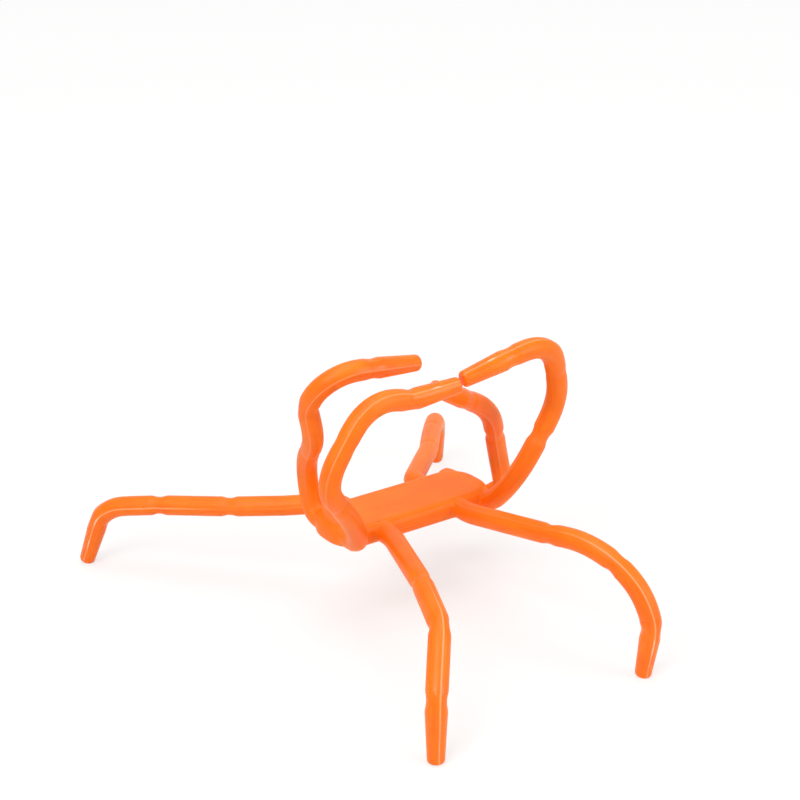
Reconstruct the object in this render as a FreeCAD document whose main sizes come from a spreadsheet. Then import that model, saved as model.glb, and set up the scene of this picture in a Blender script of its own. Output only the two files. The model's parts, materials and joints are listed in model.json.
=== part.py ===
"""Flexible stand: a flat hub with eight bendable legs, four feet and four grips.

Lengths are in millimetres and angles in degrees. The origin is the middle of the hub's top face,
Z points up, the back of the stand is +Y and its right side is +X.
"""
import FreeCAD, Part
import math
import os
from FreeCAD import Placement, Rotation, Vector

SIZES = [
    ("hub_length", 51.2, "hub along X"),
    ("hub_width", 19.0, "hub along Y"),
    ("hub_height", 6.0, "hub thickness"),
    ("hub_corner", 8.0, "plan corner radius of the hub"),
    ("hub_edge", 2.2, "rounding of the hub's upper and lower edges"),
    ("stand_height", 29.5, "hub top above the ground"),
    ("leg_dia", 5.5, "leg thickness"),
    ("neck_dia", 4.7, "leg thickness at a neck"),
    ("neck_length", 3.8, "straight length of a neck"),
    ("shoulder_length", 1.1, "slope between neck and link"),
    ("tip_dia", 4.3, "leg thickness at its end"),
    ("tip_round", 1.0, "rounding of the leg's end"),
    ("foot_inset", 13.1, "root of a foot from the hub's end"),
    ("grip_inset", 3.9, "root of a grip from the hub's end"),
    ("foot_reach", 3.5, "root bend of a foot beyond the hub's side"),
    ("grip_reach", 1.2, "root bend of a grip beyond the hub's side"),
    ("thigh_length", 30.5, "foot link from root to first neck"),
    ("knee_length", 20.8, "foot link from first to second neck"),
    ("shin_length", 18.2, "foot link from second to third neck"),
    ("foot_tip_length", 15.6, "foot link from third neck to its end"),
    ("base_length", 26.0, "grip link from root to first neck"),
    ("side_length", 21.0, "grip link from first to second neck"),
    ("crown_length", 23.0, "grip link from second to third neck"),
    ("grip_tip_length", 15.0, "front grip link from third neck to its end"),
    ("tips_meet", 1.6, "X of the plane where the ends of the two back grips meet"),
    ("tips_gap", 0.7, "space between the ends of the two back grips"),
    ("link_straight", 4.0, "straight run at both ends of a curved link"),
    ("front_shin_run", 11.5, "straight run of a front foot's shin before its bend"),
    ("root_ball_dia", 8.4, "bending ball at a leg's root"),
    ("neck_ball_dia", 6.6, "bending ball at a neck"),
    ("bend_gap", 0.2, "clearance between a bending ball and its cup"),
    ("wire_dia", 1.8, "bending wire"),
    ("wire_gap", 0.1, "clearance around the wire"),
    ("kink_bend", 3.2, "centre-line radius where a leg is kinked"),
    ("wire_inset", 5.0, "wire end below the leg's end"),
]

# Each link: heading (from +Y towards +X) and rise where it starts, and where it ends if it is curved.
# A foot's thigh has a heading only, because its rise follows from stand_height.
FOOT_POSES = {
    "back_right": [(21.6,), (23.8, -1.7), (39.8, -43.6), (36.5, -84.6)],
    "back_left": [(-6.0,), (-13.6, 9.3, -13.5, -16.3), (-26.4, -40.0, -26.0, -68.9), (173.9, -82.0)],
    "front_right": [(135.4,), (141.2, -7.3), (139.1, -8.5, 139.0, -34.9), (143.2, -69.0)],
    "front_left": [(-135.4,), (-141.2, -7.3), (-139.1, -8.5, -139.0, -34.9), (-143.2, -69.0)],
}
GRIP_POSES = {
    "back_right": [(41.7, 49.8, 58.2, 44.1), (58.2, 44.1, -88.3, 56.2), (-88.3, 56.2, -93.4, -16.9),
                   (-87.0, 4.3)],
    "back_left": [(-6.4, 45.9, -81.1, 59.6), (-81.1, 59.6, 52.9, 61.4), (52.9, 61.4, 93.8, -12.4),
                  (93.8, -12.4)],
    "front_right": [(162.8, 77.5, 23.2, 39.0), (23.2, 39.0, 62.2, 69.2), (-3.5, 54.1, -92.7, -7.3),
                    (-92.7, -7.3)],
    "front_left": [(-130.5, -61.4, -34.5, 38.7), (93.5, 76.9, 48.4, 57.1), (48.4, 57.1, 77.8, 28.7),
                   (77.8, 28.7)],
}
FOOT_LINKS = ["thigh", "knee", "shin", "tip"]
GRIP_LINKS = ["base", "side", "crown", "tip"]
FOOT_LENGTHS = ["thigh_length", "knee_length", "shin_length", "foot_tip_length"]
GRIP_LENGTHS = ["base_length", "side_length", "crown_length", "grip_tip_length"]
SMALLEST_KINK = math.radians(0.5)

doc = FreeCAD.newDocument("flexible_stand")
sheet = doc.addObject("Spreadsheet::Sheet", "Sizes")
for row, (alias, value, note) in enumerate(SIZES, 1):
    sheet.set("A%d" % row, note)
    sheet.set("B%d" % row, str(value))
    sheet.setAlias("B%d" % row, alias)
doc.recompute()


def size(alias):
    """Value of one cell of the size table."""
    return float(sheet.get(alias))


def direction(heading, rise):
    """Unit vector of a heading in plan and a rise above level."""
    h, r = math.radians(heading), math.radians(rise)
    return Vector(math.cos(r) * math.sin(h), math.cos(r) * math.cos(h), math.sin(r))


def ways(pose):
    """Directions in which a link starts and ends."""
    return direction(*pose[:2]), direction(*pose[-2:])


def add(kind, label, place=None, **expressions):
    """A document object whose sizes are bound to the size table."""
    item = doc.addObject(kind, label)
    item.Label = label
    if place is not None:
        item.Placement = place
    for prop, expression in expressions.items():
        item.setExpression(prop, expression)
    return item


def along(start, axis):
    """Placement that puts local Z on an axis from a start point."""
    return Placement(start, Rotation(Vector(0, 0, 1), axis))


def cylinder(label, start, end, radius):
    """Round bar between two points; radius is an expression."""
    item = add("Part::Cylinder", label, along(start, end - start), Radius=radius)
    item.Height = (end - start).Length
    return item


def cone(label, start, end, radius_start, radius_end):
    """Tapered bar between two points; radii are expressions."""
    item = add("Part::Cone", label, along(start, end - start), Radius1=radius_start, Radius2=radius_end)
    item.Height = (end - start).Length
    return item


def sphere(label, centre, facing, radius):
    """Ball with its poles and seam turned away from a direction; radius is an expression."""
    return add("Part::Sphere", label, Placement(centre, Rotation(Vector(-1, 0, 0), facing)), Radius=radius)


def fused(label, items):
    """Union of two or more items."""
    if len(items) == 1:
        return items[0]
    item = add("Part::MultiFuse", label)
    item.Shapes = items
    item.Refine = True
    return item


def paired(kind, label, base, tool):
    """Boolean of two items."""
    item = add(kind, label)
    item.Base = base
    item.Tool = tool
    item.Refine = True
    return item


def bend_angle(before, after):
    """Angle between two unit vectors."""
    return math.acos(max(-1.0, min(1.0, before.dot(after))))


def route(points, radii):
    """Straight runs joined by tangent arcs at the inner points.

    Returns a list of ("run", start, end) and ("arc", start, centre, axis, radius, angle).
    """
    pieces = []
    start = points[0]
    for before, corner, after, radius in zip(points, points[1:], points[2:], radii):
        into = (corner - before).normalize()
        out = (after - corner).normalize()
        angle = bend_angle(into, out)
        reach = radius * math.tan(angle / 2)
        first, last = corner - into * reach, corner + out * reach
        axis = into.cross(out).normalize()
        pieces.append(("run", start, first))
        pieces.append(("arc", first, first + axis.cross(into) * radius, axis, radius, angle))
        start = last
    pieces.append(("run", start, points[-1]))
    return pieces


def bars_along(label, pieces, radius):
    """Round bars, one for each piece of a route; radius is an expression."""
    items = []
    for number, piece in enumerate(pieces, 1):
        name = "%s_%d" % (label, number)
        if piece[0] == "run":
            items.append(cylinder(name, piece[1], piece[2], radius))
            continue
        start, centre, axis, bend, angle = piece[1:]
        outward = (start - centre).normalize()
        turn = Rotation(outward, axis.cross(outward), axis, "ZXY")
        item = add("Part::Torus", name, Placement(centre, turn), Radius2=radius)
        item.Radius1 = bend
        item.Angle3 = math.degrees(angle)
        items.append(item)
    return items


def tube(label, pieces, radius):
    """One round bar along a route; radius is an expression."""
    return fused(label, bars_along(label, pieces, radius))


class Link:
    """One thick stretch of a leg between two bends, straight or curved in one plane."""

    def __init__(self, name, start, heading, leaving, length, run=None):
        self.name, self.start, self.heading, self.leaving = name, start, heading, leaving
        self.angle = bend_angle(heading, leaving)
        self.radius = None
        self.corner = None
        if self.angle < SMALLEST_KINK:
            self.end = start + heading * length
            return
        straight = size("link_straight")
        first = straight if run is None else run
        self.radius = (length - first - straight) / self.angle
        reach = self.radius * math.tan(self.angle / 2)
        self.corner = start + heading * (first + reach)
        self.end = self.corner + leaving * (straight + reach)

    def middle(self, trim_start, trim_end):
        """Route of the link without a stretch at either end."""
        first = self.start + self.heading * trim_start
        last = self.end - self.leaving * trim_end
        if self.corner is None:
            return route([first, last], [])
        return route([first, self.corner, last], [self.radius])


class Leg:
    """A chain of four links from its root bend on the hub to its tip."""

    def __init__(self, name, links, root, out):
        self.name, self.links, self.root, self.out = name, links, root, out

    def wire_points(self):
        """Corner points and bend radii from the root to the wire's end."""
        points, radii = [], []
        before = self.out
        for link in self.links:
            if bend_angle(before, link.heading) > SMALLEST_KINK:
                points.append(link.start)
                radii.append(size("kink_bend"))
            if link.corner is not None:
                points.append(link.corner)
                radii.append(link.radius)
            before = link.leaving
        tip = self.links[-1]
        return points, radii, tip.end, tip.leaving


def root_place(side_x, side_y, inset, reach):
    """Root bend of a leg, level with the middle of the hub's side."""
    return Vector(side_x * (size("hub_length") / 2 - size(inset)),
                  side_y * (size("hub_width") / 2 + size(reach)), -size("hub_height") / 2)


def foot_leg(name, side_x, side_y, pose):
    """A foot whose tip just meets the ground."""
    root = root_place(side_x, side_y, "foot_inset", "foot_reach")
    lengths = [size(alias) for alias in FOOT_LENGTHS]
    runs = {"shin": size("front_shin_run")} if side_y < 0 else {}

    def lower_links(start):
        """Links from the first neck to the tip."""
        links = []
        for word, angles, length in zip(FOOT_LINKS[1:], pose[1:], lengths[1:]):
            link = Link("%s_foot_%s" % (name, word), start, *ways(angles), length, runs.get(word))
            links.append(link)
            start = link.end
        return links

    drop = lower_links(Vector(0, 0, 0))[-1].end.z
    tip, rounding = direction(*pose[-1]), size("tip_round")
    flat = size("tip_dia") / 2 - rounding
    lowest = -rounding * tip.z - rounding - flat * math.hypot(tip.x, tip.y)
    rise = math.asin((-size("stand_height") - root.z - drop - lowest) / lengths[0])
    heading = direction(pose[0][0], math.degrees(rise))
    thigh = Link("%s_foot_%s" % (name, FOOT_LINKS[0]), root, heading, heading, lengths[0])
    return Leg(name + "_foot", [thigh] + lower_links(thigh.end), root, Vector(0, side_y, 0))


def grip_leg(name, side_x, side_y, pose):
    """A grip that curls up from the hub; the two back ones end on either side of one plane."""
    root = root_place(side_x, side_y, "grip_inset", "grip_reach")
    links, start = [], root
    for word, alias, angles in zip(GRIP_LINKS, GRIP_LENGTHS, pose):
        heading, leaving = ways(angles)
        length = size(alias)
        if word == GRIP_LINKS[-1] and side_y > 0:
            length = (size("tips_meet") + side_x * size("tips_gap") / 2 - start.x) / heading.x
        links.append(Link("%s_grip_%s" % (name, word), start, heading, leaving, length))
        start = links[-1].end
    return Leg(name + "_grip", links, root, Vector(0, side_y, 0))


LEG_RADIUS = "Sizes.leg_dia / 2"
NECK_RADIUS = "Sizes.neck_dia / 2"
TIP_RADIUS = "Sizes.tip_dia / 2"


def bending_end(name, before, bend, heading, radius, ball):
    """Bar from a point through a bend, with a domed end that the next link's cup turns on."""
    far = bend + heading * (size("root_ball_dia") + size("leg_dia"))
    into = (bend - before).normalize()
    if bend_angle(into, heading) < SMALLEST_KINK:
        pieces = [("run", before, far)]
    else:
        pieces = route([before, bend, far], [size("kink_bend")])
    bars = bars_along(name, pieces, radius)
    dome = sphere(name + "_dome", bend, heading, ball)
    bars[-1] = paired("Part::Common", name + "_end", bars[-1], dome)
    return bars


def rounded_tip(link, trim):
    """Tapered end link with a rounded end."""
    item = cone(link.name + "_taper", link.start + link.heading * trim, link.end, LEG_RADIUS, TIP_RADIUS)
    doc.recompute()
    far = [number for number, edge in enumerate(item.Shape.Edges, 1)
           if edge.isClosed() and edge.CenterOfMass.distanceToPoint(link.end) < size("tip_round")]
    rounding = add("Part::Fillet", link.name + "_rounded")
    rounding.Base = item
    rounding.Edges = [(number, size("tip_round"), size("tip_round")) for number in far]
    return rounding


def link_solid(leg, number, bore):
    """Solid of one link: its cup, shoulders, middle and bending end, bored for the wire."""
    link, name = leg.links[number], leg.links[number].name
    half, slope = size("neck_length") / 2, size("shoulder_length")
    items, trim = [], 0.0
    ball = "(Sizes.root_ball_dia / 2 + Sizes.bend_gap)"
    if number > 0:
        trim = half + slope
        ball = "(Sizes.neck_ball_dia / 2 + Sizes.bend_gap)"
        low, high = link.start + link.heading * half, link.start + link.heading * trim
        items.append(cylinder(name + "_neck_in", link.start, low, NECK_RADIUS))
        items.append(cone(name + "_slope_in", low, high, NECK_RADIUS, LEG_RADIUS))
    if link is leg.links[-1]:
        items.append(rounded_tip(link, trim))
    else:
        following = leg.links[number + 1]
        items.append(tube(name + "_middle", link.middle(trim, half + slope), LEG_RADIUS))
        high, low = link.end - link.leaving * (half + slope), link.end - link.leaving * half
        items.append(cone(name + "_slope_out", high, low, LEG_RADIUS, NECK_RADIUS))
        items += bending_end(name, high, link.end, following.heading, NECK_RADIUS, "Sizes.neck_ball_dia / 2")
    outer = fused(name + "_outer", items)
    cup = sphere(name + "_cup", link.start, link.heading, ball)
    cupped = paired("Part::Cut", name + "_cupped", outer, cup)
    return paired("Part::Cut", name, cupped, bore)


def hub_solid(legs, bores):
    """Hub plate with rounded edges and a socket for each leg."""
    plate = add("Part::Box", "hub_plate", Length="Sizes.hub_length", Width="Sizes.hub_width",
                Height="Sizes.hub_height")
    plate.Placement.Base = Vector(-size("hub_length") / 2, -size("hub_width") / 2, -size("hub_height"))
    doc.recompute()
    upright = [number for number, edge in enumerate(plate.Shape.Edges, 1)
               if edge.BoundBox.ZLength > size("hub_height") / 2]
    rounded = add("Part::Fillet", "hub_corners")
    rounded.Base = plate
    rounded.Edges = [(number, size("hub_corner"), size("hub_corner")) for number in upright]
    doc.recompute()
    rims = [number for number, edge in enumerate(rounded.Shape.Edges, 1)
            if edge.BoundBox.ZLength < size("hub_edge") / 2]
    soft = add("Part::Fillet", "hub_soft")
    soft.Base = rounded
    soft.Edges = [(number, size("hub_edge"), size("hub_edge")) for number in rims]
    items = [soft]
    for leg in legs:
        inside = Vector(leg.root.x, 0, leg.root.z)
        items += bending_end(leg.name + "_root", inside, leg.root, leg.links[0].heading, LEG_RADIUS,
                             "Sizes.root_ball_dia / 2")
    body = fused("hub_outer", items)
    for number, bore in enumerate(bores, 1):
        label = "hub" if number == len(bores) else "hub_bored_%d" % number
        body = paired("Part::Cut", label, body, bore)
    return body


def wire_pair(name, back, front):
    """Wire through two opposite legs and the hub, and the bore that holds it."""
    tools = []
    for label, radius, extra in ((name, "Sizes.wire_dia / 2", 0.0),
                                 (name + "_bore", "Sizes.wire_dia / 2 + Sizes.wire_gap", size("wire_gap"))):
        b_points, b_radii, b_end, b_way = back.wire_points()
        f_points, f_radii, f_end, f_way = front.wire_points()
        inset = size("wire_inset") - extra
        points = [b_end - b_way * inset] + b_points[::-1] + f_points + [f_end - f_way * inset]
        tools.append(tube(label, route(points, b_radii[::-1] + f_radii), radius))
    return tools


legs = {}
for row_name, sign_y in (("back", 1), ("front", -1)):
    for col_name, sign_x in (("right", 1), ("left", -1)):
        corner = "%s_%s" % (row_name, col_name)
        legs[corner + "_foot"] = foot_leg(corner, sign_x, sign_y, FOOT_POSES[corner])
        legs[corner + "_grip"] = grip_leg(corner, sign_x, sign_y, GRIP_POSES[corner])

nodes = []
bores = []
for col_name in ("right", "left"):
    for kind in ("grip", "foot"):
        pair = [legs["%s_%s_%s" % (row_name, col_name, kind)] for row_name in ("back", "front")]
        wire, bore = wire_pair("%s_%s_wire" % (col_name, kind), *pair)
        nodes.append(wire)
        bores.append(bore)
        for leg in pair:
            nodes += [link_solid(leg, number, bore) for number in range(len(leg.links))]
nodes.append(hub_solid(list(legs.values()), bores))
doc.recompute()

for item in doc.Objects:
    if "Invalid" in item.State or "Error" in item.State:
        raise RuntimeError("feature not built: " + item.Label)
os.makedirs("parts", exist_ok=True)
for node in nodes:
    shape = node.Shape
    if not shape.isValid() or len(shape.Solids) != 1:
        raise RuntimeError("not one valid solid: %s (%d)" % (node.Label, len(shape.Solids)))
    shape.exportStep("parts/%s.step" % node.Label)
for leg in legs.values():
    for link in leg.links:
        points = tuple(link.start) + tuple(link.end)
        print("%s from (%.2f, %.2f, %.2f) to (%.2f, %.2f, %.2f)" % ((link.name,) + points))
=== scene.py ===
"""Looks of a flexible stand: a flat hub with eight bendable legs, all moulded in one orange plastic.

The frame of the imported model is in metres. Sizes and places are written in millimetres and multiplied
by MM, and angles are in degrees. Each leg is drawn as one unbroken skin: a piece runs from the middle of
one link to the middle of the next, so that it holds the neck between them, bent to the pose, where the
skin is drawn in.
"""
import json
import logging
import math
from dataclasses import dataclass, field
from enum import Enum

import bmesh
import bpy
import numpy as np
from mathutils import Matrix, Vector


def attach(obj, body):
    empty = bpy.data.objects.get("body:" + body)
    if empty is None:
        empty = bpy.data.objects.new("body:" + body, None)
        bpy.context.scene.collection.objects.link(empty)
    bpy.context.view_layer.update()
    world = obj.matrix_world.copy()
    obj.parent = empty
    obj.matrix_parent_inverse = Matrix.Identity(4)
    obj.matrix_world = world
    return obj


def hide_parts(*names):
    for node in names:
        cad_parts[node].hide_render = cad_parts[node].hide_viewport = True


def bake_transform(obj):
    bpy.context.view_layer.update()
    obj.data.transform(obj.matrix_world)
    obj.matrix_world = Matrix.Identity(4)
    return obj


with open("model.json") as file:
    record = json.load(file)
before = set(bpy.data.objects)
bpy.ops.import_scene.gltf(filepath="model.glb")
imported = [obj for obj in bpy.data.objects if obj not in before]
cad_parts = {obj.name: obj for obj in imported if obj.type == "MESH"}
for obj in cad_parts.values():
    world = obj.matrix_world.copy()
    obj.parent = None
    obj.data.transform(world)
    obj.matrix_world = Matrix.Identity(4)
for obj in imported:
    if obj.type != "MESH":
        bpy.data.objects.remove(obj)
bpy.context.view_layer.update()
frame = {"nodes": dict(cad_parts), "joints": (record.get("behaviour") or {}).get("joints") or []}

MM = 0.001
QUAD = 4
# Colour sockets of a Mix node, whose names are also those of its other sockets.
COLOUR_FIRST, COLOUR_SECOND, COLOUR_MIXED = 6, 7, 2
LOG = logging.getLogger("stand")


class Kind(Enum):
    """What a leg does, with the names of its links from the hub outwards."""

    FOOT = ("foot", ("thigh", "knee", "shin", "tip"))
    GRIP = ("grip", ("base", "side", "crown", "tip"))

    @property
    def word(self) -> str:
        """Name of the kind in node names."""
        return self.value[0]

    @property
    def links(self) -> tuple[str, ...]:
        """Names of the links in node names."""
        return self.value[1]


class Flow(Enum):
    """Which way the plastic ran in the mould, as the map that its fine lines follow."""

    ALONG_LEG = "leg"
    ALONG_HUB = "hub"


def linear(hex_colour: str) -> tuple[float, float, float, float]:
    """Turn an sRGB hex colour to linear RGBA.

    Args:
        hex_colour: Six hex digits.
    Returns:
        Linear red, green, blue and an alpha of 1.
    """
    channels = [int(hex_colour[i:i + 2], 16) / 255 for i in (0, 2, 4)]
    return (*[c / 12.92 if c <= 0.04045 else ((c + 0.055) / 1.055) ** 2.4 for c in channels], 1.0)


def per_mm(size: float) -> float:
    """Texture scale at which one feature of a pattern measures that many millimetres."""
    return 1.0 / (size * MM)


def add_node(tree: bpy.types.NodeTree, kind: str, inputs: dict | None = None,
             **settings: object) -> bpy.types.Node:
    """Add one node with its settings, values and links.

    Args:
        tree: Node tree that gets the node.
        kind: Blender's name of the node type.
        inputs: Socket name or number to a value, or to the output socket that feeds it.
        **settings: Properties of the node.
    Returns:
        The new node.
    """
    node = tree.nodes.new(kind)
    for name, value in settings.items():
        setattr(node, name, value)
    for key, value in (inputs or {}).items():
        socket = node.inputs[key]
        if isinstance(value, bpy.types.NodeSocket):
            tree.links.new(value, socket)
        else:
            socket.default_value = value
    return node


def emptied_tree(owner: bpy.types.Material | bpy.types.World) -> bpy.types.NodeTree:
    """Node tree of a material or a world, with its first nodes removed."""
    owner.use_nodes = True
    owner.node_tree.nodes.clear()
    return owner.node_tree


def add_object(name: str, data: bpy.types.ID) -> bpy.types.Object:
    """Make an object at the origin and link it to the scene."""
    made = bpy.data.objects.new(name, data)
    bpy.context.scene.collection.objects.link(made)
    return made


@dataclass(frozen=True)
class MouldedPlastic:
    """Soft PVC, injection moulded: satin, a little translucent, with fine flow lines and grain.

    The eye gets a warm, faintly clouded orange, a soft broad highlight, and a glossier skin on the tips,
    which were polished in the mould. Lines and grain are drawn coarser than real ones, so that they show.
    """

    name: str
    flow: Flow
    colour: str = "FD7606"
    deep: str = "FA6A02"
    pale: str = "FF8010"
    # Pale colour of the parting line: partly the thin flash's own lighter tone, partly a painted highlight
    # where the line catches light.
    line: str = "FFD6AE"
    speck: str = "A83A08"
    tone_stops: tuple[float, float, float] = (0.30, 0.5, 0.72)
    roughness: float = 0.44
    roughness_spread: float = 0.07
    tip_roughness: float = 0.24
    specular: float = 0.25
    ior: float = 1.53
    scatter_share: float = 0.3
    scatter_colour: tuple[float, float, float] = (1.0, 0.25, 0.05)
    scatter_depth: float = 2.0
    cloud: float = 9.0
    cloud_detail: float = 3.0
    line_length: float = 14.0
    line_width: float = 0.45
    round_length: float = 17.3
    grain: float = 0.35
    fine_detail: float = 2.0
    speck_spacing: float = 7.0
    speck_core: float = 0.018
    speck_rim: float = 0.03
    speck_share: float = 0.75
    relief_depth: float = 0.02
    relief_share: float = 0.35

    def material(self) -> bpy.types.Material:
        """Build the node material.

        Returns:
            The material, on Object coordinates and on the leg's own attributes.
        """
        material = bpy.data.materials.new(self.name)
        tree = emptied_tree(material)
        where = add_node(tree, "ShaderNodeTexCoord").outputs["Object"]
        lines = self.lines(tree, where)
        grain = add_node(tree, "ShaderNodeTexNoise", {
            "Vector": where, "Scale": per_mm(self.grain), "Detail": self.fine_detail}).outputs["Fac"]
        relief = add_node(tree, "ShaderNodeMath", {0: lines, 1: grain}, operation="ADD").outputs[0]
        bump = add_node(tree, "ShaderNodeBump", {
            "Height": relief, "Strength": self.relief_share, "Distance": self.relief_depth * MM}).outputs[0]
        shader = add_node(tree, "ShaderNodeBsdfPrincipled", {
            "Base Color": self.tint(tree, where, lines), "Roughness": self.polish(tree, grain),
            "IOR": self.ior, "Normal": bump, "Specular IOR Level": self.specular,
            "Subsurface Weight": self.scatter_share, "Subsurface Radius": self.scatter_colour,
            "Subsurface Scale": self.scatter_depth * MM})
        add_node(tree, "ShaderNodeOutputMaterial", {"Surface": shader.outputs[0]})
        return material

    def lines(self, tree: bpy.types.NodeTree, where: bpy.types.NodeSocket) -> bpy.types.NodeSocket:
        """Fine lines that the plastic left as it ran through the mould.

        Args:
            tree: Node tree that gets the nodes.
            where: Object coordinates.
        Returns:
            Socket from 0 to 1.
        """
        lane = where
        if self.flow is Flow.ALONG_LEG:
            along = add_node(tree, "ShaderNodeAttribute", attribute_name="along").outputs["Fac"]
            around = add_node(tree, "ShaderNodeAttribute", attribute_name="around").outputs["Fac"]
            width = add_node(tree, "ShaderNodeMath", {
                0: around, 1: self.round_length * MM}, operation="MULTIPLY").outputs[0]
            lane = add_node(tree, "ShaderNodeCombineXYZ", {"X": along, "Y": width}).outputs[0]
        stretch = add_node(tree, "ShaderNodeMapping", {"Vector": lane, "Scale": (
            per_mm(self.line_length), per_mm(self.line_width), per_mm(self.line_width))}).outputs[0]
        return add_node(tree, "ShaderNodeTexNoise", {
            "Vector": stretch, "Scale": 1.0, "Detail": self.fine_detail}).outputs["Fac"]

    def tint(self, tree: bpy.types.NodeTree, where: bpy.types.NodeSocket,
             lines: bpy.types.NodeSocket) -> bpy.types.NodeSocket:
        """Colour: clouded orange, pale along the parting line, partly its own lighter flash and partly a
        painted highlight, with a few dark specks.

        Args:
            tree: Node tree that gets the nodes.
            where: Object coordinates.
            lines: The flow lines.
        Returns:
            Colour socket.
        """
        cloud = add_node(tree, "ShaderNodeTexNoise", {
            "Vector": where, "Scale": per_mm(self.cloud), "Detail": self.cloud_detail}).outputs["Fac"]
        total = add_node(tree, "ShaderNodeMath", {0: cloud, 1: lines}, operation="ADD").outputs[0]
        mean = add_node(tree, "ShaderNodeMath", {0: total, 1: 0.5}, operation="MULTIPLY").outputs[0]
        ramp = add_node(tree, "ShaderNodeValToRGB", {"Fac": mean})
        low, middle, high = self.tone_stops
        first, last = ramp.color_ramp.elements
        first.position, first.color = low, linear(self.deep)
        last.position, last.color = high, linear(self.pale)
        ramp.color_ramp.elements.new(middle).color = linear(self.colour)
        # Painted highlight: the parting line is mixed towards a pale colour, partly the thin flash's own
        # lighter tone and partly light that the line catches.
        ridge = add_node(tree, "ShaderNodeAttribute", attribute_name="ridge").outputs["Fac"]
        flash = add_node(tree, "ShaderNodeAttribute", attribute_name="flash").outputs["Fac"]
        shown = add_node(tree, "ShaderNodeMath", {0: ridge, 1: flash}, operation="MULTIPLY").outputs[0]
        tint = add_node(tree, "ShaderNodeMix", {
            "Factor": shown, COLOUR_FIRST: ramp.outputs[0], COLOUR_SECOND: linear(self.line)},
            data_type="RGBA").outputs[COLOUR_MIXED]
        cells = add_node(tree, "ShaderNodeTexVoronoi", {
            "Vector": where, "Scale": per_mm(self.speck_spacing)}).outputs["Distance"]
        speck = add_node(tree, "ShaderNodeMapRange", {
            "Value": cells, "From Min": self.speck_core, "From Max": self.speck_rim,
            "To Min": self.speck_share, "To Max": 0.0}).outputs[0]
        return add_node(tree, "ShaderNodeMix", {
            "Factor": speck, COLOUR_FIRST: tint, COLOUR_SECOND: linear(self.speck)},
            data_type="RGBA").outputs[COLOUR_MIXED]

    def polish(self, tree: bpy.types.NodeTree, grain: bpy.types.NodeSocket) -> bpy.types.NodeSocket:
        """Roughness: satin with the grain, glossier on the tips.

        Args:
            tree: Node tree that gets the nodes.
            grain: The fine grain.
        Returns:
            Roughness socket.
        """
        satin = add_node(tree, "ShaderNodeMapRange", {
            "Value": grain, "To Min": self.roughness - self.roughness_spread,
            "To Max": self.roughness + self.roughness_spread}).outputs[0]
        tip = add_node(tree, "ShaderNodeAttribute", attribute_name="tip").outputs["Fac"]
        return add_node(tree, "ShaderNodeMapRange", {
            "Value": tip, "To Min": satin, "To Max": self.tip_roughness}).outputs[0]


@dataclass(frozen=True)
class PaperSweep:
    """White paper sweep: the camera sees white, and the stand's shadow stays on it."""

    name: str = "white_paper"
    colour: str = "F4F2EF"
    white_share: float = 0.64
    white_far: float = 0.88
    white_strength: float = 1.05
    near: float = 110.0
    far: float = 260.0

    def material(self) -> bpy.types.Material:
        """Build the node material.

        Returns:
            Diffuse paper mixed with white for what the camera and reflections see.
        """
        material = bpy.data.materials.new(self.name)
        tree = emptied_tree(material)
        seen = white_rays(tree)
        where = add_node(tree, "ShaderNodeTexCoord").outputs["Object"]
        away = add_node(tree, "ShaderNodeVectorMath", {0: where}, operation="LENGTH").outputs["Value"]
        part = add_node(tree, "ShaderNodeMapRange", {
            "Value": away, "From Min": self.near * MM, "From Max": self.far * MM,
            "To Min": self.white_share, "To Max": self.white_far}, interpolation_type="SMOOTHSTEP").outputs[0]
        share = add_node(tree, "ShaderNodeMath", {0: seen, 1: part}, operation="MULTIPLY").outputs[0]
        paper = add_node(tree, "ShaderNodeBsdfDiffuse", {"Color": linear(self.colour)})
        white = add_node(tree, "ShaderNodeEmission", {
            "Color": (1, 1, 1, 1), "Strength": self.white_strength})
        mixed = add_node(tree, "ShaderNodeMixShader", {0: share, 1: paper.outputs[0], 2: white.outputs[0]})
        add_node(tree, "ShaderNodeOutputMaterial", {"Surface": mixed.outputs[0]})
        return material


def white_rays(tree: bpy.types.NodeTree) -> bpy.types.NodeSocket:
    """Rays that see the white background: from the camera, or through a reflection or glass.

    Args:
        tree: Node tree that gets the nodes.
    Returns:
        Socket that is 1 for such a ray.
    """
    path = add_node(tree, "ShaderNodeLightPath").outputs
    total = path["Is Camera Ray"]
    for name in ("Is Glossy Ray", "Is Transmission Ray"):
        total = add_node(tree, "ShaderNodeMath", {0: total, 1: path[name]}, operation="MAXIMUM").outputs[0]
    return total


def unit(vector: np.ndarray) -> np.ndarray:
    """Vector of length 1 in the same direction."""
    return vector / np.linalg.norm(vector)


def heading(turn: float, rise: float) -> np.ndarray:
    """Unit vector of a heading in plan, from +Y towards +X, and a rise above level, in degrees."""
    t, r = math.radians(turn), math.radians(rise)
    return np.array([math.cos(r) * math.sin(t), math.cos(r) * math.cos(t), math.sin(r)])


def angle_between(before: np.ndarray, after: np.ndarray) -> float:
    """Angle between two unit vectors, in radians."""
    return math.acos(max(-1.0, min(1.0, float(before @ after))))


def eased(value: np.ndarray, low: float, high: float) -> np.ndarray:
    """Smooth step from 0 at low to 1 at high."""
    t = np.clip((value - low) / (high - low), 0.0, 1.0)
    return t * t * (3 - 2 * t)


def distances(points: np.ndarray) -> np.ndarray:
    """Distance along a line of each of its points."""
    return np.concatenate([[0.0], np.cumsum(np.linalg.norm(np.diff(points, axis=0), axis=1))])


def rows_at(places: np.ndarray, run: np.ndarray, table: np.ndarray) -> np.ndarray:
    """Rows of a table of x, y and z, read at places along its run."""
    return np.stack([np.interp(places, run, table[:, axis]) for axis in range(3)], axis=1)


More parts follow.
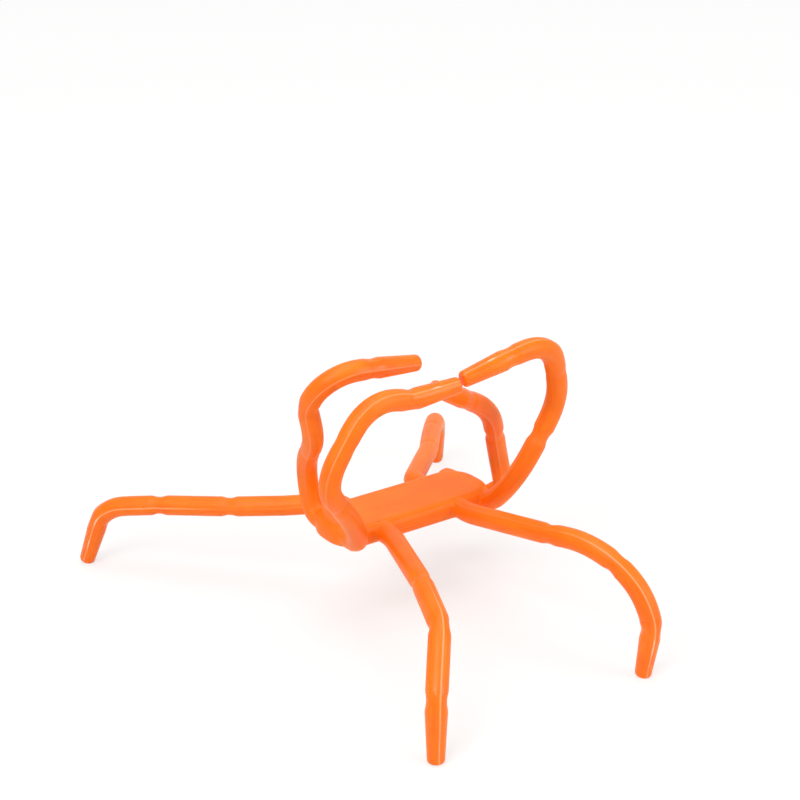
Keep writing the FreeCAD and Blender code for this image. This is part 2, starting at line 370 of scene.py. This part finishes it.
def line_mesh(name: str, points: np.ndarray, values: dict[str, np.ndarray]) -> bpy.types.Object:
    """Make a chain of edges that carries values at its points.

    Args:
        name: Name of the object.
        points: One row for each point.
        values: Attribute name to one number or one vector for each point.
    Returns:
        The object, linked to the scene.
    """
    mesh = bpy.data.meshes.new(name)
    mesh.from_pydata([tuple(p) for p in points], [(i, i + 1) for i in range(len(points) - 1)], [])
    for key, data in values.items():
        vector = data.ndim == 2
        layer = mesh.attributes.new(key, "FLOAT_VECTOR" if vector else "FLOAT", "POINT")
        layer.data.foreach_set("vector" if vector else "value", data.astype(np.float32).ravel())
    return add_object(name, mesh)


def plain_mesh(source: bpy.types.Object, name: str) -> bpy.types.Object:
    """Turn an object with modifiers to a plain mesh object and remove the source.

    Args:
        source: Object whose evaluated shape is kept.
        name: Name of the new object.
    Returns:
        The new object, at the origin.
    """
    evaluated = source.evaluated_get(bpy.context.evaluated_depsgraph_get())
    mesh = bpy.data.meshes.new_from_object(evaluated)
    mesh.name = name
    bpy.data.objects.remove(source)
    return add_object(name, mesh)


def tidy_faces(made: bpy.types.Object) -> None:
    """Turn all faces outwards and keep the round sides' shading off the flat end caps.

    Args:
        made: Closed mesh object.
    """
    shape = bmesh.new()
    shape.from_mesh(made.data)
    bmesh.ops.recalc_face_normals(shape, faces=shape.faces)
    for face in shape.faces:
        if len(face.verts) > QUAD:
            face.smooth = False
            for edge in face.edges:
                edge.smooth = False
        else:
            face.smooth = True
    shape.to_mesh(made.data)
    shape.free()


@dataclass
class LegSkin:
    """Geometry Nodes tree that sweeps a leg's round section along its line.

    The section is two shallow halves that meet at a soft edge on both sides, with the mould's fine
    raised parting line on that edge. At a neck the two halves are drawn in, and the edge runs on.
    """

    finish: bpy.types.Material
    sides: int = 120
    edge_height: float = 0.04
    edge_width: float = 0.34
    edge_power: float = 1.0
    ridge_width: float = 0.06
    ridge_power: float = 2.0
    tree: bpy.types.NodeTree = field(init=False)

    def __post_init__(self) -> None:
        """Build the tree."""
        self.tree = self.build()

    def build(self) -> bpy.types.NodeTree:
        """Make the node tree.

        Returns:
            Tree with named inputs for its sizes.
        """
        tree = bpy.data.node_groups.new("leg_skin", "GeometryNodeTree")
        inputs = {"Geometry": "Geometry", "Sides": "Int", "Edge Height": "Float", "Edge Width": "Float",
                  "Ridge Width": "Float", "Finish": "Material"}
        for name, kind in inputs.items():
            tree.interface.new_socket(name, in_out="INPUT", socket_type=f"NodeSocket{kind}")
        tree.interface.new_socket("Geometry", in_out="OUTPUT", socket_type="NodeSocketGeometry")
        given = add_node(tree, "NodeGroupInput").outputs
        carried = {name: add_node(tree, "GeometryNodeInputNamedAttribute", {"Name": name},
                                  data_type="FLOAT_VECTOR" if name == "side" else "FLOAT").outputs[0]
                   for name in ("side", "girth", "ridge", "seam", "half", "waist")}
        line = add_node(tree, "GeometryNodeMeshToCurve", {"Mesh": given["Geometry"]}).outputs[0]
        line = add_node(tree, "GeometryNodeSetCurveNormal", {
            "Curve": line, "Normal": carried["side"]}, mode="FREE").outputs[0]
        skin = add_node(tree, "GeometryNodeCurveToMesh", {
            "Curve": line, "Profile Curve": self.section(tree, given), "Scale": carried["girth"],
            "Fill Caps": True}).outputs[0]
        seam = add_node(tree, "ShaderNodeMath", {
            0: carried["ridge"], 1: carried["seam"]}, operation="MULTIPLY").outputs[0]
        drawn = add_node(tree, "ShaderNodeMath", {
            0: carried["half"], 1: carried["waist"]}, operation="MULTIPLY").outputs[0]
        height = add_node(tree, "ShaderNodeMath", {0: seam, 1: drawn}, operation="SUBTRACT").outputs[0]
        outward = add_node(tree, "GeometryNodeInputNormal").outputs["Normal"]
        push = add_node(tree, "ShaderNodeVectorMath", {
            0: outward, "Scale": height}, operation="SCALE").outputs[0]
        skin = add_node(tree, "GeometryNodeSetPosition", {"Geometry": skin, "Offset": push}).outputs[0]
        skin = add_node(tree, "GeometryNodeRealizeInstances", {"Geometry": skin}).outputs[0]
        skin = add_node(tree, "GeometryNodeSetMaterial", {
            "Geometry": skin, "Material": given["Finish"]}).outputs[0]
        add_node(tree, "NodeGroupOutput", {"Geometry": skin})
        return tree

    def section(self, tree: bpy.types.NodeTree,
                given: bpy.types.bpy_prop_collection) -> bpy.types.NodeSocket:
        """Section of radius 1 that carries its place around, its halves and its parting line.

        Args:
            tree: Node tree that gets the nodes.
            given: The tree's inputs.
        Returns:
            Curve socket.
        """
        ring = add_node(tree, "GeometryNodeCurvePrimitiveCircle", {
            "Resolution": given["Sides"], "Radius": 1.0}).outputs[0]
        place = add_node(tree, "GeometryNodeInputPosition").outputs[0]
        across = add_node(tree, "ShaderNodeSeparateXYZ", {0: place}).outputs["Y"]
        off = add_node(tree, "ShaderNodeMath", {0: across}, operation="ABSOLUTE").outputs[0]

        def falling(width: str, power: float) -> bpy.types.NodeSocket:
            """Value that falls from 1 at the section's edge, over a width."""
            ratio = add_node(tree, "ShaderNodeMath", {0: off, 1: given[width]}, operation="DIVIDE").outputs[0]
            raised = add_node(tree, "ShaderNodeMath", {0: ratio, 1: power}, operation="POWER").outputs[0]
            less = add_node(tree, "ShaderNodeMath", {0: raised, 1: -1.0}, operation="MULTIPLY").outputs[0]
            return add_node(tree, "ShaderNodeMath", {0: less}, operation="EXPONENT").outputs[0]

        values = {
            "around": add_node(tree, "GeometryNodeSplineParameter").outputs["Factor"],
            "half": add_node(tree, "ShaderNodeMath", {0: across, 1: across}, operation="MULTIPLY").outputs[0],
            "ridge": falling("Ridge Width", self.ridge_power)}
        for name, value in values.items():
            ring = add_node(tree, "GeometryNodeStoreNamedAttribute", {
                "Geometry": ring, "Name": name, "Value": value},
                data_type="FLOAT", domain="POINT").outputs[0]
        edge = add_node(tree, "ShaderNodeMath", {
            0: falling("Edge Width", self.edge_power), 1: given["Edge Height"]},
            operation="MULTIPLY").outputs[0]
        lift = add_node(tree, "ShaderNodeVectorMath", {0: place, "Scale": edge}, operation="SCALE").outputs[0]
        return add_node(tree, "GeometryNodeSetPosition", {"Geometry": ring, "Offset": lift}).outputs[0]

    def sweep(self, name: str, points: np.ndarray, values: dict[str, np.ndarray]) -> bpy.types.Object:
        """Sweep the section along one stretch of a leg.

        Args:
            name: Name of the piece.
            points: Points of the leg's line.
            values: What the line carries at its points.
        Returns:
            The piece as a plain closed mesh.
        """
        line = line_mesh(name + "_line", points, values)
        modifier = line.modifiers.new("skin", "NODES")
        modifier.node_group = self.tree
        chosen = {"Sides": self.sides, "Edge Height": self.edge_height, "Edge Width": self.edge_width,
                  "Ridge Width": self.ridge_width, "Finish": self.finish}
        for socket in self.tree.interface.items_tree:
            if socket.in_out == "INPUT" and socket.name in chosen:
                modifier[socket.identifier] = chosen[socket.name]
        made = plain_mesh(line, name)
        tidy_faces(made)
        return made


@dataclass
class Leg:
    """One bendable leg: a chain of four links with a neck between each two.

    The pose has the heading and the rise of each link where it starts and, if the link is bent, where it
    ends. A foot's thigh has none, because it runs straight to the first neck. The twist turns the parting
    line round the leg. Waists say how deep each neck is, slides how far it lies past its joint, nubs how
    far from the leg's end a raised nub sits; its near-white colour is a painted highlight. Leans are small
    shifts at the root, halfway along the first link, at each neck and at the end.
    """

    corner: str
    kind: Kind
    pose: tuple[tuple[float, ...], ...]
    tip_length: float
    twist: float
    waists: tuple[float, ...]
    slides: tuple[float, ...] = (0.0, 0.0, 0.0)
    nubs: tuple[float, ...] = ()
    leans: tuple[tuple[float, float, float], ...] = ()
    leg_dia: float = 5.5
    neck_dia: float = 4.45
    neck_flat: float = 0.3
    neck_round: float = 0.35
    neck_reach: float = 2.6
    tip_dia: float = 4.25
    tip_round: float = 0.8
    tip_polish: float = 7.0
    seam_height: float = 0.07
    nub_height: float = 0.22
    nub_length: float = 1.0
    # How strongly the parting line is painted pale near the hub, at a foot's end and at a grip's end: partly
    # its own lighter flash, partly a painted highlight.
    flash_root: float = 0.06
    flash_end: float = 0.42
    flash_grip: float = 0.26
    link_straight: float = 4.0
    kink_bend: float = 3.2
    hub_inset: float = 5.0
    fine_step: float = 0.1
    ring_step: float = 0.36
    softness: float = 1.7
    bend_zone: float = 3.6
    end_steps: tuple[float, ...] = (0.0, 0.02, 0.05, 0.1, 0.2)
    cap_rings: int = 12
    least_bend: float = 0.5
    least_step: float = 1e-9
    soft_reach: float = 4.0

    @property
    def name(self) -> str:
        """Name of the leg in node names."""
        return f"{self.corner}_{self.kind.word}"

    @property
    def out(self) -> np.ndarray:
        """Direction in which the leg leaves the hub."""
        return np.array([0.0, 1.0 if self.corner.startswith("back") else -1.0, 0.0])

    def joints(self) -> list[np.ndarray]:
        """Places of the root and the three necks, in millimetres."""
        found = {joint["name"]: np.array(joint["pos_m"]) / MM for joint in frame["joints"]}
        return [found[f"{self.name}_{word}"] for word in ("root", "neck_1", "neck_2", "neck_3")]

    def corners(self) -> tuple[list[np.ndarray], list[float]]:
        """Corner points of the leg's line and the bend radius at each inner one.

        Returns:
            Points from inside the hub to the tip, and radii, in millimetres.
        """
        joints = self.joints()
        ways = [(heading(*angles[:2]), heading(*angles[-2:])) for angles in self.pose]
        if self.kind is Kind.FOOT:
            thigh = unit(joints[1] - joints[0])
            ways.insert(0, (thigh, thigh))
        points, radii = [joints[0] - self.out * self.hub_inset], []
        before, least = self.out, math.radians(self.least_bend)
        for number, (start, (way, leaving)) in enumerate(zip(joints, ways)):
            if angle_between(before, way) > least:
                points.append(start)
                radii.append(self.kink_bend)
            bend = angle_between(way, leaving)
            if bend > least:
                span = joints[number + 1] - start
                reaches = np.linalg.lstsq(np.stack([way, leaving], axis=1), span, rcond=None)[0]
                points.append(start + way * reaches[0])
                radii.append((min(reaches) - self.link_straight) / math.tan(bend / 2))
            before = leaving
        return points + [joints[-1] + before * self.tip_length], radii

    def centre_line(self) -> np.ndarray:
        """Fine points of the leg's line, softened as bent plastic is.

        Returns:
            One row for each point, in millimetres.
        """
        points, radii = self.corners()
        rows, start = [], points[0]
        for before, corner, after, radius in zip(points, points[1:], points[2:], radii):
            into, away = unit(corner - before), unit(after - corner)
            angle = angle_between(into, away)
            reach = radius * math.tan(angle / 2)
            first = corner - into * reach
            inward = unit(away - into * float(into @ away))
            rows.append(self.straight(start, first))
            turns = np.linspace(0, angle, max(3, int(radius * angle / self.fine_step)))[:, None]
            rows.append(first + radius * (np.sin(turns) * into + (1 - np.cos(turns)) * inward))
            start = corner + away * reach
        rows.append(self.straight(start, points[-1]))
        return self.softened(self.evenly(np.vstack(rows)))

    def straight(self, start: np.ndarray, end: np.ndarray) -> np.ndarray:
        """Points of a straight run."""
        count = max(2, int(np.linalg.norm(end - start) / self.fine_step))
        return start + np.linspace(0, 1, count)[:, None] * (end - start)

    def evenly(self, points: np.ndarray) -> np.ndarray:
        """The same line with its points a fine step apart."""
        steps = np.linalg.norm(np.diff(points, axis=0), axis=1)
        points = np.vstack([points[:1], points[1:][steps > self.least_step]])
        run = distances(points)
        return rows_at(np.linspace(0, run[-1], int(run[-1] / self.fine_step)), run, points)

    def softened(self, points: np.ndarray) -> np.ndarray:
        """The line with its sudden changes of bend evened out, ends kept."""
        reach = int(self.soft_reach * self.softness / self.fine_step)
        offsets = np.arange(-reach, reach + 1) * self.fine_step
        weights = np.exp(-0.5 * (offsets / self.softness) ** 2)
        weights /= weights.sum()
        lead = points[0] - np.arange(reach, 0, -1)[:, None] * (points[1] - points[0])
        tail = points[-1] + np.arange(1, reach + 1)[:, None] * (points[-1] - points[-2])
        padded = np.vstack([lead, points, tail])
        return np.stack([np.convolve(padded[:, axis], weights, "valid") for axis in range(3)], axis=1)

    def leaned(self, points: np.ndarray, run: np.ndarray, marks: list[float]) -> np.ndarray:
        """The line as the soft plastic lies, a little off the straight links.

        Args:
            points: Fine points of the leg's line.
            run: Distance along the leg of each point.
            marks: Distance along the leg of the root and the necks.
        Returns:
            One row for each point, in millimetres.
        """
        if not self.leans:
            return points
        places = [marks[0], (marks[0] + marks[1]) / 2, *marks[1:], run[-1]]
        return points + rows_at(run, np.array(places), np.array(self.leans))

    def sides(self, points: np.ndarray) -> np.ndarray:
        """Direction of the parting line at each point, carried along the leg without twist.

        Args:
            points: Fine points of the leg's line.
        Returns:
            One unit vector for each point.
        """
        ways = np.gradient(points, axis=0)
        ways /= np.linalg.norm(ways, axis=1)[:, None]
        turn = math.radians(self.twist)
        side = np.array([math.cos(turn), 0.0, math.sin(turn)])
        rows = []
        for way in ways:
            side = unit(side - way * float(side @ way))
            rows.append(side)
        return np.array(rows)

    def girth(self, run: np.ndarray, necks: list[float], end: float) -> np.ndarray:
        """Radius along the leg, a little less at the necks, with a tapered, rounded tip.

        Args:
            run: Distance along the leg of each point.
            necks: Distance along the leg of each neck.
            end: Length of the leg.
        Returns:
            Radius at each point, in millimetres.
        """
        radius = np.full(len(run), self.leg_dia / 2)
        taper = np.clip((run - necks[-1] - self.neck_reach) / (end - necks[-1] - self.neck_reach), 0, 1)
        radius -= taper * (self.leg_dia - self.tip_dia) / 2
        radius -= self.neck_round * self.waist(run, necks)
        left = np.clip(end - run, 0, self.tip_round)
        radius -= self.tip_round - np.sqrt(self.tip_round ** 2 - (self.tip_round - left) ** 2)
        return radius

    def waist(self, run: np.ndarray, necks: list[float]) -> np.ndarray:
        """How far the two halves are drawn in along the leg, most at the necks.

        Args:
            run: Distance along the leg of each point.
            necks: Distance along the leg of each neck.
        Returns:
            Depth at each point, in millimetres.
        """
        depth = np.zeros(len(run))
        for neck, share, slide in zip(necks, self.waists, self.slides):
            most = share * (self.leg_dia - self.neck_dia) / 2
            depth += most * (1 - eased(np.abs(run - neck - slide), self.neck_flat, self.neck_reach))
        return depth

    def seam(self, run: np.ndarray, end: float) -> np.ndarray:
        """Height of the parting line along the leg, with the nubs left where flash was trimmed.

        Args:
            run: Distance along the leg of each point.
            end: Length of the leg.
        Returns:
            Height at each point, in millimetres.
        """
        height = np.full(len(run), self.seam_height)
        for nub in self.nubs:
            height += self.nub_height * np.exp(-((end - run - nub) / self.nub_length) ** 2)
        return height * np.clip((end - run) / (2 * self.tip_round), 0, 1)

    def flash(self, run: np.ndarray, marks: list[float], end: float) -> np.ndarray:
        """How strongly the parting line is painted pale, partly its own lighter flash and partly a painted
        highlight: faint near the hub, clear towards the end, and near-white on nubs as a painted highlight.

        Args:
            run: Distance along the leg of each point.
            marks: Distance along the leg of the root and the necks.
            end: Length of the leg.
        Returns:
            Share from 0 to 1 at each point.
        """
        full = self.flash_end if self.kind is Kind.FOOT else self.flash_grip
        shown = self.flash_root + (full - self.flash_root) * eased(run, marks[1], marks[2])
        # Painted highlight: each nub is painted near-white, as a glint on the tip.
        for nub in self.nubs:
            shown += np.exp(-((end - run - nub) / self.nub_length) ** 2)
        return np.clip(shown, 0, 1)

    def stations(self, low: float, high: float, end: float) -> np.ndarray:
        """Places of a piece's rings, closer together at its ends so that the next piece's shading meets it.

        Args:
            low: Where the piece starts along the leg.
            high: Where it ends.
            end: Length of the leg.
        Returns:
            Distances along the leg.
        """
        lead = np.array(self.end_steps)
        first, last = low + lead[-1] + self.ring_step, high - lead[-1] - self.ring_step / 2
        inner = np.arange(first, last, self.ring_step)
        rows = [low + lead, inner, high - lead[::-1]]
        if high == end:
            cap = end - self.tip_round * (1 - np.sin(np.linspace(0, math.pi / 2, self.cap_rings)))
            rows = [low + lead, inner[inner < end - self.tip_round - self.ring_step / 2], cap]
        return np.concatenate(rows)

    def build(self, skin: LegSkin) -> list[bpy.types.Object]:
        """Make the leg's pieces and hide the imported links that they stand for.

        Args:
            skin: Tree that sweeps the leg's section.
        Returns:
            The pieces from the hub outwards.
        """
        points = self.centre_line()
        run = distances(points)
        end = run[-1]
        joints = self.joints()
        marks = [float(run[np.argmin(np.linalg.norm(points - joint, axis=1))]) for joint in joints]
        points = self.leaned(points, run, marks)
        sides = self.sides(points)
        edges = [0.0] + [(a + b) / 2 for a, b in zip(marks, marks[1:])] + [end]
        made = []
        for number, word in enumerate(self.kind.links):
            low, high = edges[number], edges[number + 1]
            stations = self.stations(low, high, end)
            piece = skin.sweep(f"{self.name}_{word}_moulding", rows_at(stations, run, points) * MM, {
                "girth": self.girth(stations, marks[1:], end) * MM,
                "waist": (1 - self.neck_round) * self.waist(stations, marks[1:]) * MM,
                "side": rows_at(stations, run, sides),
                "along": stations * MM,
                "tip": eased(stations, marks[-1] - self.tip_polish, marks[-1]),
                "flash": self.flash(stations, marks, end),
                "seam": self.seam(stations, end) * MM})
            child = f"{self.name}_{word}"
            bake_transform(piece)
            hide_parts(child)
            made.append(piece)
        return made


@dataclass
class Hub:
    """Flat bar that carries the legs: soft edges, and a short filleted socket at each leg."""

    length: float = 51.2
    width: float = 19.0
    height: float = 6.0
    corner: float = 8.0
    edge: float = 2.2
    socket_dia: float = 5.44
    foot_socket: float = 2.4
    grip_socket: float = 0.6
    corner_steps: int = 12
    edge_steps: int = 15
    socket_rings: int = 10
    socket_sides: int = 40
    voxel: float = 0.3
    smoothing: int = 9
    smoothing_share: float = 0.5
    ridge_height: float = 0.04
    ridge_width: float = 0.22
    ridge_slope: float = 0.6

    def outline(self, inset: float) -> list[tuple[float, float]]:
        """Rounded rectangle in plan, in millimetres, drawn in by an inset."""
        radius = self.corner - inset
        reach_x, reach_y = self.length / 2 - self.corner, self.width / 2 - self.corner
        points = []
        for number, (sx, sy) in enumerate(((1, 1), (-1, 1), (-1, -1), (1, -1))):
            for turn in np.linspace(0, math.pi / 2, self.corner_steps):
                angle = number * math.pi / 2 + turn
                points.append((sx * reach_x + radius * math.cos(angle),
                               sy * reach_y + radius * math.sin(angle)))
        return points

    def plate(self, shape: bmesh.types.BMesh) -> None:
        """Add the bar's closed shell.

        Args:
            shape: Mesh that gets the shell.
        """
        rings = []
        flat = self.height / 2 - self.edge
        for turn in np.linspace(-math.pi / 2, math.pi / 2, self.edge_steps):
            inset = self.edge * (1 - math.cos(turn))
            level = self.edge * math.sin(turn) + math.copysign(flat, turn) - self.height / 2
            rings.append([shape.verts.new((x * MM, y * MM, level * MM)) for x, y in self.outline(inset)])
        self.wall(shape, rings)

    @staticmethod
    def wall(shape: bmesh.types.BMesh, rings: list[list[bmesh.types.BMVert]]) -> None:
        """Join rings of points to a closed shell with flat ends."""
        count = len(rings[0])
        for low, high in zip(rings, rings[1:]):
            for i in range(count):
                shape.faces.new((low[i], low[(i + 1) % count], high[(i + 1) % count], high[i]))
        shape.faces.new(rings[0][::-1])
        shape.faces.new(rings[-1])

    def socket(self, shape: bmesh.types.BMesh, leg: Leg) -> None:
        """Add a short round stub where a leg leaves the bar.

        Args:
            shape: Mesh that gets the stub.
            leg: The leg.
        """
        points = leg.centre_line()
        run = distances(points)
        sides = leg.sides(points)
        reach = self.foot_socket if leg.kind is Kind.FOOT else self.grip_socket
        face = leg.hub_inset - abs(abs(leg.joints()[0][1]) - self.width / 2)
        rings = []
        turns = np.linspace(0, 2 * math.pi, self.socket_sides, endpoint=False)
        for station in np.linspace(0.0, face + reach, self.socket_rings):
            i = int(np.searchsorted(run, station))
            way = unit(points[i + 1] - points[i])
            other = np.cross(way, sides[i])
            ring = [points[i] + self.socket_dia / 2 * (math.cos(a) * sides[i] + math.sin(a) * other)
                    for a in turns]
            rings.append([shape.verts.new(tuple(point * MM)) for point in ring])
        self.wall(shape, rings)

    def build(self, legs: list[Leg], finish: bpy.types.Material) -> bpy.types.Object:
        """Make the hub as one moulding and tie it to the hub's body.

        Args:
            legs: All legs.
            finish: The hub's material.
        Returns:
            The hub's piece.
        """
        shape = bmesh.new()
        self.plate(shape)
        for leg in legs:
            self.socket(shape, leg)
        bmesh.ops.recalc_face_normals(shape, faces=shape.faces)
        mesh = bpy.data.meshes.new("hub_blank")
        shape.to_mesh(mesh)
        shape.free()
        blank = add_object("hub_blank", mesh)
        remesh = blank.modifiers.new("one_skin", "REMESH")
        remesh.mode, remesh.voxel_size, remesh.use_smooth_shade = "VOXEL", self.voxel * MM, True
        smooth = blank.modifiers.new("fillets", "SMOOTH")
        smooth.factor, smooth.iterations = self.smoothing_share, self.smoothing
        made = plain_mesh(blank, "hub_moulding")
        self.parting_line(made.data)
        made.data.materials.clear()
        made.data.materials.append(finish)
        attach(made, "hub")
        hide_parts("hub", *(name for name in frame["nodes"] if name.endswith("_wire")))
        return made

    def parting_line(self, mesh: bpy.types.Mesh) -> None:
        """Raise the fine line round the bar's side where the mould's halves met.

        Args:
            mesh: The hub's mesh, changed in place.
        """
        count = len(mesh.vertices)
        places, normals = np.zeros(count * 3), np.zeros(count * 3)
        mesh.vertices.foreach_get("co", places)
        mesh.vertices.foreach_get("normal", normals)
        places, normals = places.reshape(-1, 3), normals.reshape(-1, 3)
        off = (places[:, 2] / MM + self.height / 2) / self.ridge_width
        lift = self.ridge_height * np.exp(-off ** 2) * (np.abs(normals[:, 2]) < self.ridge_slope)
        mesh.vertices.foreach_set("co", (places + normals * lift[:, None] * MM).ravel())
        mesh.update()


@dataclass(frozen=True)
class Softbox:
    """Square soft lamp that faces the stand, with its place and side in millimetres and power in watts."""

    name: str
    place: tuple[float, float, float]
    side: float
    power: float

    def build(self) -> None:
        """Add the lamp to the scene."""
        data = bpy.data.lights.new(self.name, "AREA")
        data.size, data.energy = self.side * MM, self.power
        made = add_object(self.name, data)
        made.location = Vector(self.place) * MM
        made.rotation_euler = (-made.location).to_track_quat("-Z", "Y").to_euler()


@dataclass
class Studio:
    """White sweep, soft lamps and the camera."""

    lamps: tuple[Softbox, ...] = (
        Softbox("left_softbox", (643.0, 294.0, 707.0), 500.0, 5.2),
        Softbox("right_softbox", (-486.0, 790.0, 375.0), 500.0, 3.4),
        Softbox("top_softbox", (0.0, 0.0, 1000.0), 800.0, 5.8))
    ground: float = -29.5
    floor_reach: float = 3000.0
    floor_cells: int = 8
    camera_place: tuple[float, float, float] = (259.18, 364.86, 210.06)
    camera_right: tuple[float, float, float] = (-0.8163, 0.5777, 0.0)
    camera_up: tuple[float, float, float] = (-0.2173, -0.3071, 0.9266)
    lens: float = 82.67
    sensor: float = 36.0
    nearest: float = 10.0
    farthest: float = 20000.0
    world_light: float = 0.25

    def floor(self) -> None:
        """Make the sweep's floor, a flat sheet on the ground."""
        shape = bmesh.new()
        bmesh.ops.create_grid(shape, x_segments=self.floor_cells, y_segments=self.floor_cells,
                              size=self.floor_reach * MM)
        mesh = bpy.data.meshes.new("paper_floor")
        shape.to_mesh(mesh)
        shape.free()
        mesh.transform(Matrix.Translation((0.0, 0.0, self.ground * MM)))
        mesh.materials.append(PaperSweep().material())
        made = add_object("paper_floor", mesh)

    def world(self) -> None:
        """Make the even light from all round, which the camera sees as white."""
        world = bpy.data.worlds.new("white_room")
        tree = emptied_tree(world)
        seen = white_rays(tree)
        strength = add_node(tree, "ShaderNodeMapRange", {
            "Value": seen, "To Min": self.world_light, "To Max": 1.0}).outputs[0]
        sky = add_node(tree, "ShaderNodeBackground", {"Color": (1, 1, 1, 1), "Strength": strength})
        add_node(tree, "ShaderNodeOutputWorld", {"Surface": sky.outputs[0]})
        bpy.context.scene.world = world

    def camera(self) -> None:
        """Make the camera at the photograph's place."""
        data = bpy.data.cameras.new("camera")
        data.lens, data.sensor_width = self.lens, self.sensor
        data.clip_start, data.clip_end = self.nearest * MM, self.farthest * MM
        right, up = Vector(self.camera_right).normalized(), Vector(self.camera_up).normalized()
        turn = Matrix((right, up, right.cross(up))).transposed().to_4x4()
        made = add_object("camera", data)
        made.matrix_world = Matrix.Translation(Vector(self.camera_place) * MM) @ turn
        bpy.context.scene.camera = made

    def build(self) -> None:
        """Make the sweep, the light and the camera."""
        self.floor()
        self.world()
        for lamp in self.lamps:
            lamp.build()
        self.camera()
        bpy.context.scene.view_settings.view_transform = "Standard"


LEGS = [
    Leg("back_right", Kind.FOOT, ((23.8, -1.7), (39.8, -43.6), (36.5, -84.6)),
        tip_length=15.6, twist=106.0, waists=(0.8, 0.7, 0.6)),
    # The nubs on this tip sit where a highlight streak lies; their near-white colour is a painted highlight.
    Leg("back_left", Kind.FOOT, ((-13.6, 9.3, -13.5, -16.3), (-26.4, -40.0, -26.0, -68.9), (173.9, -82.0)),
        tip_length=15.6, twist=48.0, waists=(0.7, 0.6, 0.6), slides=(0.0, 0.0, 2.0), nubs=(9.0, 11.5)),
    # The nubs on this tip sit where highlights lie on its edge and bend; their near-white colour is a painted
    # highlight.
    Leg("front_right", Kind.FOOT, ((141.2, -7.3), (139.1, -8.5, 139.0, -34.9), (143.2, -69.0)),
        tip_length=15.6, twist=3.0, waists=(0.85, 0.85, 0.35), slides=(0.0, 0.0, 2.0), nubs=(7.0, 14.5),
        leans=((0.0, 0.0, 0.0), (0.0, 0.0, -0.3), (0.0, 0.0, 0.1), (0.2, -0.1, 0.5),
               (0.65, -0.46, 0.6), (0.54, -0.38, 0.0))),
    Leg("front_left", Kind.FOOT, ((-141.2, -7.3), (-139.1, -8.5, -139.0, -34.9), (-143.2, -69.0)),
        tip_length=15.6, twist=-3.0, waists=(0.45, 0.45, 0.35), slides=(0.0, 0.0, 2.0)),
    Leg("back_right", Kind.GRIP, (
        (41.7, 49.8, 58.2, 44.1), (58.2, 44.1, -88.3, 56.2), (-88.3, 56.2, -93.4, -16.9), (-87.0, 4.3)),
        tip_length=14.77, twist=-59.0, waists=(0.8, 0.25, 0.5), nubs=(7.6,)),
    Leg("back_left", Kind.GRIP, (
        (-6.4, 45.9, -81.1, 59.6), (-81.1, 59.6, 52.9, 61.4), (52.9, 61.4, 93.8, -12.4), (93.8, -12.4)),
        tip_length=14.73, twist=21.0, waists=(1.5, 0.5, 0.6), nubs=(8.6,)),
    Leg("front_right", Kind.GRIP, (
        (162.8, 77.5, 23.2, 39.0), (23.2, 39.0, 62.2, 69.2), (-3.5, 54.1, -92.7, -7.3), (-92.7, -7.3)),
        tip_length=15.0, twist=40.0, waists=(0.8, 0.5, 0.5)),
    Leg("front_left", Kind.GRIP, (
        (-130.5, -61.4, -34.5, 38.7), (93.5, 76.9, 48.4, 57.1), (48.4, 57.1, 77.8, 28.7), (77.8, 28.7)),
        tip_length=15.0, twist=-85.0, waists=(0.6, 0.8, 0.5)),
]


def main() -> None:
    """Build the stand and its studio."""
    logging.basicConfig(level=logging.INFO, format="%(name)s: %(message)s")
    Studio().build()
    skin = LegSkin(MouldedPlastic("orange_pvc_leg", Flow.ALONG_LEG).material())
    for leg in LEGS:
        pieces = leg.build(skin)
        LOG.info("%s: %d pieces, %d faces", leg.name, len(pieces), sum(len(p.data.polygons) for p in pieces))
    hub = Hub().build(LEGS, MouldedPlastic("orange_pvc_hub", Flow.ALONG_HUB).material())
    LOG.info("hub: %d faces", len(hub.data.polygons))


if __name__ == "__main__":
    main()
